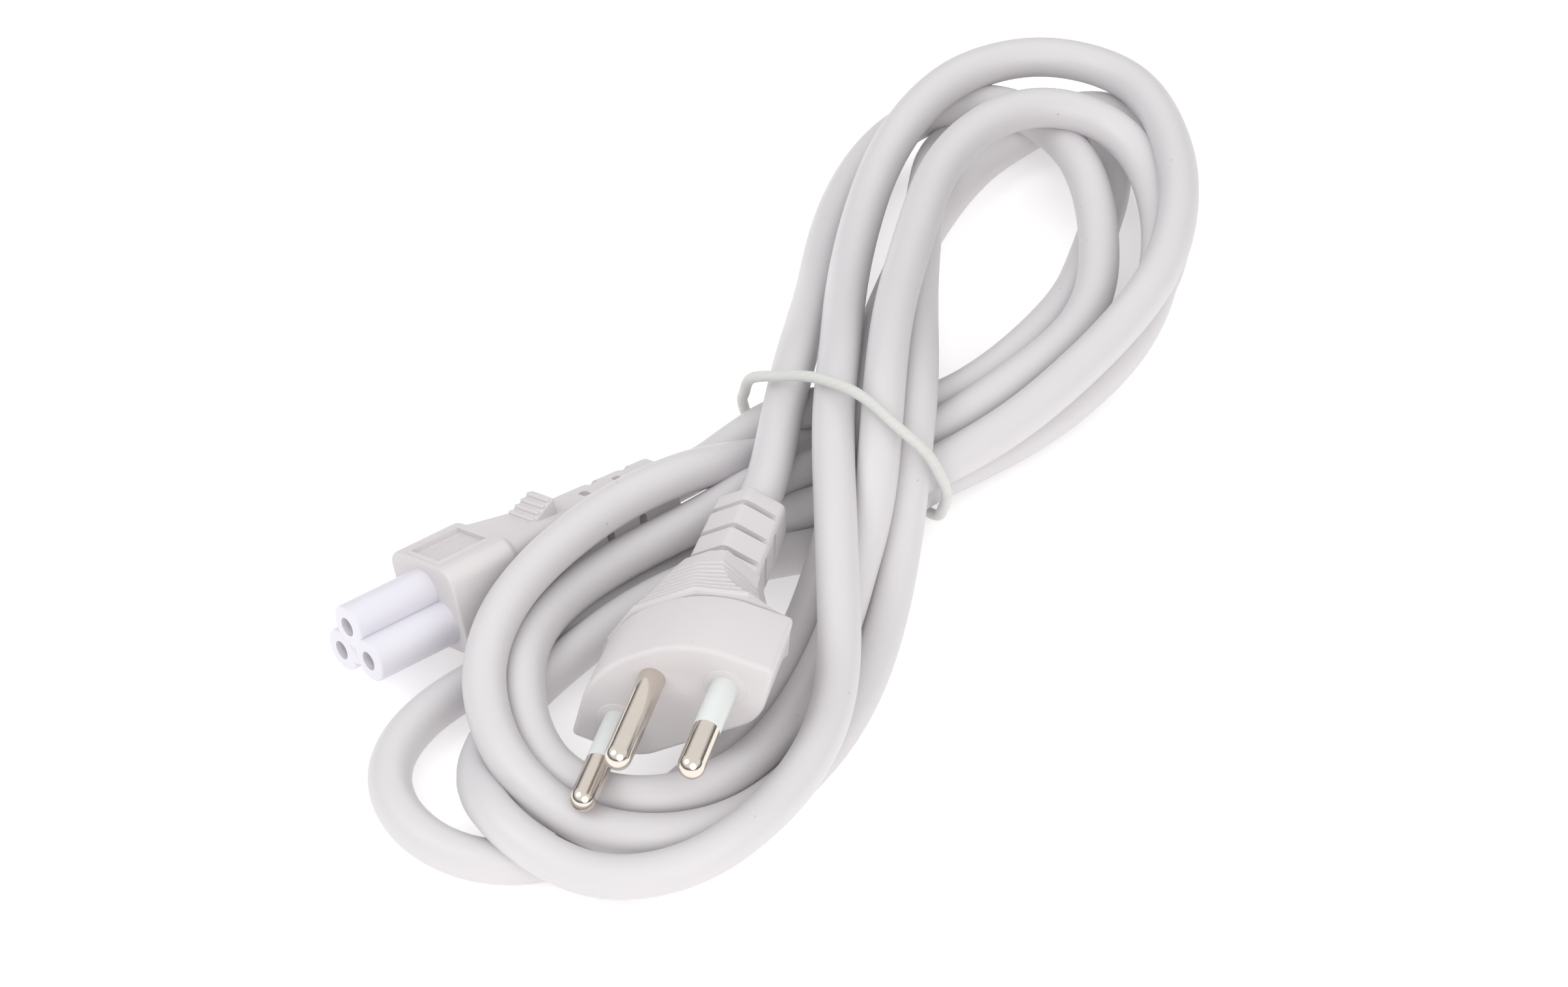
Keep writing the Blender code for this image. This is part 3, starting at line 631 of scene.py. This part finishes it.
def side_slots(item, places, width, core, level):
    """Cuts slots from both sides down to this distance from the middle, above or below it."""
    for y in places:
        for side in (1, -1):
            slot = bar("slot", (SLOT_REACH, width, SLOT_REACH),
                       (side * (core + SLOT_REACH / 2), y, level * (SLOT_FLOOR + SLOT_REACH / 2)))
            round_edges(slot, width * SLOT_ROUNDING)
            cut(item, slot)


def half_slots(item, places, level):
    """Cuts slots right over the upper or the lower half of the plug's relief, down to a core."""
    core, height = PLUG_RELIEF_FLAT - 0.7 * MM, PLUG_RELIEF_HEIGHT - 1 * MM
    for y in places:
        side_slots(item, (y,), PLUG_SLOT_WIDTH, core, level)
        slot = bar("slot", (2 * core + 2 * MM, PLUG_SLOT_WIDTH, SLOT_REACH),
                   (0, y, level * (height + SLOT_REACH / 2)))
        round_edges(slot, PLUG_SLOT_WIDTH * SLOT_ROUNDING)
        cut(item, slot)


class LEAD_OT_plug(bpy.types.Operator):
    """Mould the plug: a flat six-sided block, a ridged grip with hollow sides and a slotted strain relief"""
    bl_idname = "lead.plug"
    bl_label = "Plug moulding"

    def execute(self, context):
        block = many_sided("block", [
            (PLUG_FACE, six_corners(PLUG_WIDTH / 2, PLUG_EARTH_FLAT, PLUG_OTHER_FLAT,
                                    PLUG_EARTH_SIDE, PLUG_OTHER_SIDE)),
            (PLUG_SHOULDER, six_corners(PLUG_WIDTH / 2 - 0.3 * MM, PLUG_EARTH_FLAT, PLUG_OTHER_FLAT,
                                        PLUG_EARTH_SIDE - 0.3 * MM, PLUG_OTHER_SIDE - 0.2 * MM))])
        # The long edges above and below are rounded wide, so the face is an arch over a flat
        edit(block)
        for level, width in ((1, 6 * MM), (-1, 3 * MM)):
            choose(block, lambda middle, way: abs(way.y) > 0.9 and middle.z * level > 4 * MM, "EDGE")
            bpy.ops.mesh.bevel(offset=width, segments=7)
        deselect()
        round_edges(block, 0.8 * MM, 4, 32)

        # Each ridge rises, runs flat and falls again between the shoulder and the lip at the neck
        ridges = context.scene.lead_sizes.grip_ridges
        rings = [grip_ring(RIDGES_START + RIDGES_SHARE * (number + part) / ridges, rise)
                 for number in range(ridges) for part, rise in RIDGE_STEPS]
        grip = many_sided("grip", [grip_ring(0), *rings, grip_ring(LIP_START), grip_ring(1)])
        round_edges(grip, 0.7 * MM, 3, 50)

        side, flat, height = PLUG_RELIEF_SIDE, PLUG_RELIEF_FLAT, PLUG_RELIEF_HEIGHT
        relief = many_sided("relief", [
            (PLUG_NECK - 3 * MM, six_corners(side, flat, flat, height, height)),
            (PLUG_TAIL, six_corners(side - 0.7 * MM, flat, flat, height - 0.4 * MM, height - 0.4 * MM))])
        round_edges(relief, 0.8 * MM, 4)
        half_slots(relief, PLUG_SLOTS_ABOVE, 1)
        half_slots(relief, PLUG_SLOTS_BELOW, -1)

        added = [grip, relief]
        for side in (-1, 1):
            collar = rod("collar", 48, COLLAR_DIAMETER, PLUG_FACE - COLLAR_RISE, PLUG_FACE + 1 * MM,
                         x=side * PIN_SPACING / 2)
            round_edges(collar, 0.18 * MM)
            added.append(collar)
        join(block, added)
        finish_piece(block, "plug_moulding", "moulded_pvc", "plug_body",
                     moulding_frame(PLUG_END, PLUG_TURN))
        return {"FINISHED"}


class LEAD_OT_pins(bpy.types.Operator):
    """Turn the three round-tipped pins and the sleeves on two of them"""
    bl_idname = "lead.pins"
    bl_label = "Pins and sleeves"

    def execute(self, context):
        sizes = context.scene.lead_sizes
        place = moulding_frame(PLUG_END, PLUG_TURN)
        sleeve_end, tip = PLUG_FACE - sizes.sleeve_length, PLUG_FACE - sizes.pin_length
        for name, x, z in (("earth", 0, EARTH_OFFSET), ("line", -PIN_SPACING / 2, 0),
                           ("neutral", PIN_SPACING / 2, 0)):
            sleeved = name != "earth"
            root = sleeve_end if sleeved else PLUG_FACE + PIN_SETBACK
            pin = rod("pin", 64, sizes.pin_diameter, tip, root, x, z)
            edit(pin)
            choose(pin, lambda middle, way: middle.y < tip + 1e-5, "EDGE")
            bpy.ops.mesh.bevel(offset=sizes.pin_diameter / 2 * 0.985, segments=14, clamp_overlap=False)
            finish_piece(pin, f"{name}_pin", "nickel_plated_brass", f"pin_{name}", place, 50)
            if sleeved:
                sleeve = rod("sleeve", 64, sizes.pin_diameter + 0.05 * MM, sleeve_end,
                             PLUG_FACE + SLEEVE_SETBACK, x, z)
                round_edges(sleeve, 0.25 * MM)
                finish_piece(sleeve, f"{name}_sleeve", "polyamide_pin_sleeve",
                             f"sleeve_{name}", place)
        return {"FINISHED"}


# ---------------------------------------------------------------- connector

def connector_frame():
    """The connector's place, rolled about its own middle as the photograph shows it."""
    return moulding_frame(CONNECTOR_END, CONNECTOR_TURN) @ Matrix.Rotation(math.radians(CONNECTOR_ROLL), 4, "Y")


def lobe_places():
    """The three holes of the nose, as (name, x, z)."""
    half = CONTACT_SPACING / 2
    return (("earth", 0, CONTACT_RISE / 2), ("line", -half, -CONTACT_RISE / 2),
            ("neutral", half, -CONTACT_RISE / 2))


class LEAD_OT_connector(bpy.types.Operator):
    """Mould the connector: block with a label window, waist, thumb grip and slotted strain relief"""
    bl_idname = "lead.connector"
    bl_label = "Connector moulding"

    def execute(self, context):
        front, top = CONNECTOR_FRONT, BLOCK_HEIGHT / 2
        body = bar("connector", (BLOCK_WIDTH, CONNECTOR_BLOCK_END - front, BLOCK_HEIGHT),
                   (0, (front + CONNECTOR_BLOCK_END) / 2, 0))
        edit(body)
        y, width, height = CONNECTOR_BLOCK_END, BLOCK_WIDTH, BLOCK_HEIGHT
        for reach, wide, high in (
                (y + BLOCK_STEP, BLOCK_WIDTH - 2 * BLOCK_STEP_DROP, BLOCK_HEIGHT - 2 * BLOCK_STEP_DROP),
                (CONNECTOR_WAIST, WAIST_WIDTH, WAIST_HEIGHT),
                (CONNECTOR_TAIL, RELIEF_ROOT * 2, RELIEF_ROOT * 2),
                (CONNECTOR_END_FACE, RELIEF_END * 2, RELIEF_END * 2)):
            choose(body, lambda place, facing: place.y > y - 1e-5)
            bpy.ops.mesh.extrude_region_move(TRANSFORM_OT_translate={"value": (0, reach - y, 0)})
            bpy.ops.transform.resize(value=(wide / width, 1, high / height), center_override=(0, 0, 0))
            y, width, height = reach, wide, high
        choose(body, lambda middle, way: abs(way.y) > 0.4, "EDGE")
        bpy.ops.mesh.bevel(offset=2.6 * MM, segments=7)
        round_edges(body, 0.5 * MM, 3, 25)

        middle = front + WINDOW_SETBACK + WINDOW_LENGTH / 2
        rim = bar("rim", (WINDOW_WIDTH + 2 * WINDOW_RIM, WINDOW_LENGTH + 2 * WINDOW_RIM, 1 * MM),
                  (0, middle, top - 0.3 * MM))
        round_edges(rim, 0.18 * MM, 2)
        cut(body, rim, "UNION")
        cut(body, bar("window", (WINDOW_WIDTH, WINDOW_LENGTH, 2 * MM),
                      (0, middle, top - WINDOW_DEPTH + 1 * MM)))
        side_slots(body, CONNECTOR_NOTCHES, 1.9 * MM, RELIEF_CORE, 1)
        side_slots(body, CONNECTOR_HOLES, 1.4 * MM, RELIEF_CORE, -1)
        for y in CONNECTOR_HOLES:
            hole = bar("hole", (2.1 * MM, 1.3 * MM, 3 * MM), (0.3 * MM, y, RELIEF_ROOT))
            round_edges(hole, 0.5 * MM)
            cut(body, hole)

        low = WAIST_HEIGHT / 2 - 0.6 * MM
        start = CONNECTOR_WAIST - 1 * MM
        thumb = bar("thumb", (THUMB_WIDTH, THUMB_LENGTH, THUMB_HEIGHT),
                    (0, start + THUMB_LENGTH / 2, THUMB_HEIGHT / 2))
        edit(thumb)
        choose(thumb, lambda place, facing: place.z > 1e-4 and place.y < start + 1e-5, "VERT")
        bpy.ops.transform.translate(value=(0, 0, low - THUMB_HEIGHT))
        choose(thumb, lambda place, facing: place.z > 1e-4 and place.y > start + 1e-4, "VERT")
        bpy.ops.transform.resize(value=(1 - THUMB_TAPER, 1, 1), center_override=(0, 0, 0))
        round_edges(thumb, 0.4 * MM)
        ridges = context.scene.lead_sizes.thumb_ridges
        added = [thumb]
        for number in range(ridges):
            share = (number + 0.6) / (ridges + 0.3)
            ridge = bar("ridge", (THUMB_WIDTH * (1 - THUMB_TAPER * share) - 0.3 * MM, 0.75 * MM, 0.9 * MM),
                        (0, start + THUMB_LENGTH * share, low + (THUMB_HEIGHT - low) * share - 0.12 * MM),
                        (math.atan2(THUMB_HEIGHT - low, THUMB_LENGTH) * 0.5, 0, 0))
            round_edges(ridge, 0.28 * MM)
            added.append(ridge)
        join(body, added)
        body.data.materials.clear()
        for finish in ("moulded_pvc", "spark_grained_pvc"):
            body.data.materials.append(finishes()[finish])
        edit(body)
        choose(body, lambda place, facing: abs(place.z - top + WINDOW_DEPTH) < 1e-5 and facing.z > 0.99
               and place.y < CONNECTOR_BLOCK_END)
        for face in bmesh.from_edit_mesh(body.data).faces:
            face.material_index = 1 if face.select else 0
        bmesh.update_edit_mesh(body.data)
        finish_piece(body, "connector_moulding", "moulded_pvc", "connector_body",
                     connector_frame())
        return {"FINISHED"}


class LEAD_OT_nose(bpy.types.Operator):
    """Mould the connector's hard three-lobed nose, with its three holes"""
    bl_idname = "lead.nose"
    bl_label = "Connector nose"

    def execute(self, context):
        tip, back = CONNECTOR_FRONT - NOSE_REACH, CONNECTOR_FRONT + 1 * MM
        # The web between the lobes is a three-sided rod that leaves a groove along each side
        deselect()
        bpy.ops.mesh.primitive_cylinder_add(
            vertices=3, radius=1, depth=back - tip - 0.1 * MM, location=(0, (tip + back) / 2, 0),
            rotation=(math.pi / 2, 0, 0))
        nose = settle()
        edit(nose)
        for (x, z), (start_x, start_z) in zip(web_corners(LOBE_RADIUS * WEB_FILL),
                                              ((0, 1), (-0.866, -0.5), (0.866, -0.5))):
            choose(nose, lambda place, facing: math.hypot(place.x - start_x, place.z - start_z) < 0.1, "VERT")
            bpy.ops.transform.translate(value=(x - start_x, 0, z - start_z))
        for name, x, z in lobe_places():
            lobe = rod("lobe", 64, LOBE_RADIUS * 2, tip, back, x, z)
            round_edges(lobe, 0.4 * MM, 4)
            cut(nose, lobe, "UNION")
        hole_diameter = context.scene.lead_sizes.hole_diameter
        for name, x, z in lobe_places():
            cut(nose, rod("bore", 48, hole_diameter, tip - 1 * MM, tip + HOLE_DEPTH, x, z))
        finish_piece(nose, "nose", "moulded_pbt_nose", "connector_nose", connector_frame())
        return {"FINISHED"}


def web_corners(reach):
    """Corners of a triangle whose sides lie this far outside the lines between the lobes' middles."""
    centres = [Vector((x, z)) for name, x, z in lobe_places()]
    corners = []
    for index, centre in enumerate(centres):
        sides = []
        for other in (centres[index - 1], centres[(index + 1) % 3]):
            way = (other - centre).normalized()
            out = Vector((way.y, -way.x))
            if out.dot(centre - sum(centres, Vector((0, 0))) / 3) < 0:
                out = -out
            sides.append((out, out.dot(centre) + reach))
        (first, near), (second, far) = sides
        spin = first.x * second.y - first.y * second.x
        corners.append(((near * second.y - far * first.y) / spin, (first.x * far - second.x * near) / spin))
    return corners


class LEAD_OT_contacts(bpy.types.Operator):
    """Roll the three brass socket contacts, set back in the nose's holes"""
    bl_idname = "lead.contacts"
    bl_label = "Contacts"

    def execute(self, context):
        start = CONNECTOR_FRONT - NOSE_REACH + CONTACT_SETBACK
        end = CONNECTOR_FRONT - NOSE_REACH + HOLE_DEPTH - 0.3 * MM
        outer = context.scene.lead_sizes.hole_diameter - 0.05 * MM
        for name, x, z in lobe_places():
            contact = rod("contact", 48, outer, start, end, x, z)
            cut(contact, rod("bore", 48, outer - 2 * CONTACT_WALL, start - 1 * MM, end - 1 * MM, x, z))
            finish_piece(contact, f"{name}_contact", "bare_brass", f"contact_{name}",
                         connector_frame())
        return {"FINISHED"}


# ---------------------------------------------------------------- stage

def area_light(name, place, size, power, colour):
    """A soft round light at this place, turned to the bundle."""
    light = bpy.data.lights.new(name, "AREA")
    light.shape = "DISK"
    light.size = size
    light.energy = power
    light.color = srgb(colour)
    item = bpy.data.objects.new(name, light)
    item.location = place
    item.rotation_euler = (-Vector(place)).to_track_quat("-Z", "Y").to_euler()
    bpy.context.scene.collection.objects.link(item)


class LEAD_OT_stage(bpy.types.Operator):
    """Set the pale floor, the soft studio light and the photograph's camera"""
    bl_idname = "lead.stage"
    bl_label = "Floor, light and camera"

    def execute(self, context):
        scene = context.scene
        camera = bpy.data.cameras.new("camera")
        camera.lens = LENS
        camera.sensor_width = SENSOR
        camera.clip_start, camera.clip_end = 0.01, 20
        item = bpy.data.objects.new("camera", camera)
        eye, aim = (Vector(point) * MM for point in (EYE, AIM))
        item.location = eye
        item.rotation_euler = (aim - eye).to_track_quat("-Z", "Y").to_euler()
        scene.collection.objects.link(item)
        scene.camera = item

        deselect()
        bpy.ops.mesh.primitive_plane_add(size=6, location=(0, 0, -0.0002))
        floor = settle()
        floor.name = "studio_floor"
        colour = scene.lead_colours.floor
        # Matt white paper, lit a little from below as on a light table, so the loops' shade stays pale
        material, tree, shader, where = start_material("matt_paper_floor", Roughness=0.9)
        shader.inputs["Base Color"].default_value = shade(colour)
        shader.inputs["Emission Color"].default_value = shade(colour)
        shader.inputs["Emission Strength"].default_value = 0.35
        floor.data.materials.append(material)

        area_light("key", (-0.75, 0.75, 1.3), 1.1, 5.5, "#FCFDFF")
        area_light("fill", (-0.9, -0.9, 0.75), 1.4, 8, "#FFFCFA")
        # The sky is white overhead and darker low down, which draws dark lines on the pins
        world = bpy.data.worlds.new("studio")
        world.use_nodes = True
        tree = world.node_tree
        height = add(tree, "SeparateXYZ", {"Vector": add(tree, "TexCoord").outputs["Generated"]})
        sky = add(tree, "MapRange", {"Value": height.outputs["Z"], "From Min": 0.1, "From Max": 0.5,
                                     "To Min": 0.12, "To Max": 1.0}, interpolation_type="SMOOTHSTEP")
        background = tree.nodes["Background"]
        background.inputs["Color"].default_value = shade(srgb("#FFFEFE"))
        tree.links.new(sky.outputs["Result"], background.inputs["Strength"])
        scene.world = world
        scene.view_settings.view_transform = "Standard"
        return {"FINISHED"}


class LEAD_PT_panel(bpy.types.Panel):
    """Lists the lead's sizes, colours and pieces"""
    bl_idname = "LEAD_PT_panel"
    bl_label = "Mains lead"
    bl_space_type = "VIEW_3D"
    bl_region_type = "UI"
    bl_category = "Lead"

    def draw(self, context):
        for group in (context.scene.lead_sizes, context.scene.lead_colours):
            for name in group.__annotations__:
                self.layout.prop(group, name)
        for operator in PIECES:
            self.layout.operator(operator.bl_idname)


PIECES = (LEAD_OT_stage, LEAD_OT_cord, LEAD_OT_tie, LEAD_OT_plug, LEAD_OT_pins, LEAD_OT_connector,
          LEAD_OT_nose, LEAD_OT_contacts)
CLASSES = (LeadSizes, LeadColours, *PIECES, LEAD_PT_panel)


def register():
    for item in CLASSES:
        bpy.utils.register_class(item)
    bpy.types.Scene.lead_sizes = PointerProperty(type=LeadSizes)
    bpy.types.Scene.lead_colours = PointerProperty(type=LeadColours)


def unregister():
    del bpy.types.Scene.lead_sizes, bpy.types.Scene.lead_colours
    for item in reversed(CLASSES):
        bpy.utils.unregister_class(item)


def main():
    register()
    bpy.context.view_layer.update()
    for operator in PIECES:
        group, name = operator.bl_idname.split(".")
        getattr(getattr(bpy.ops, group), name)()
    deselect()


if __name__ == "__main__":
    main()
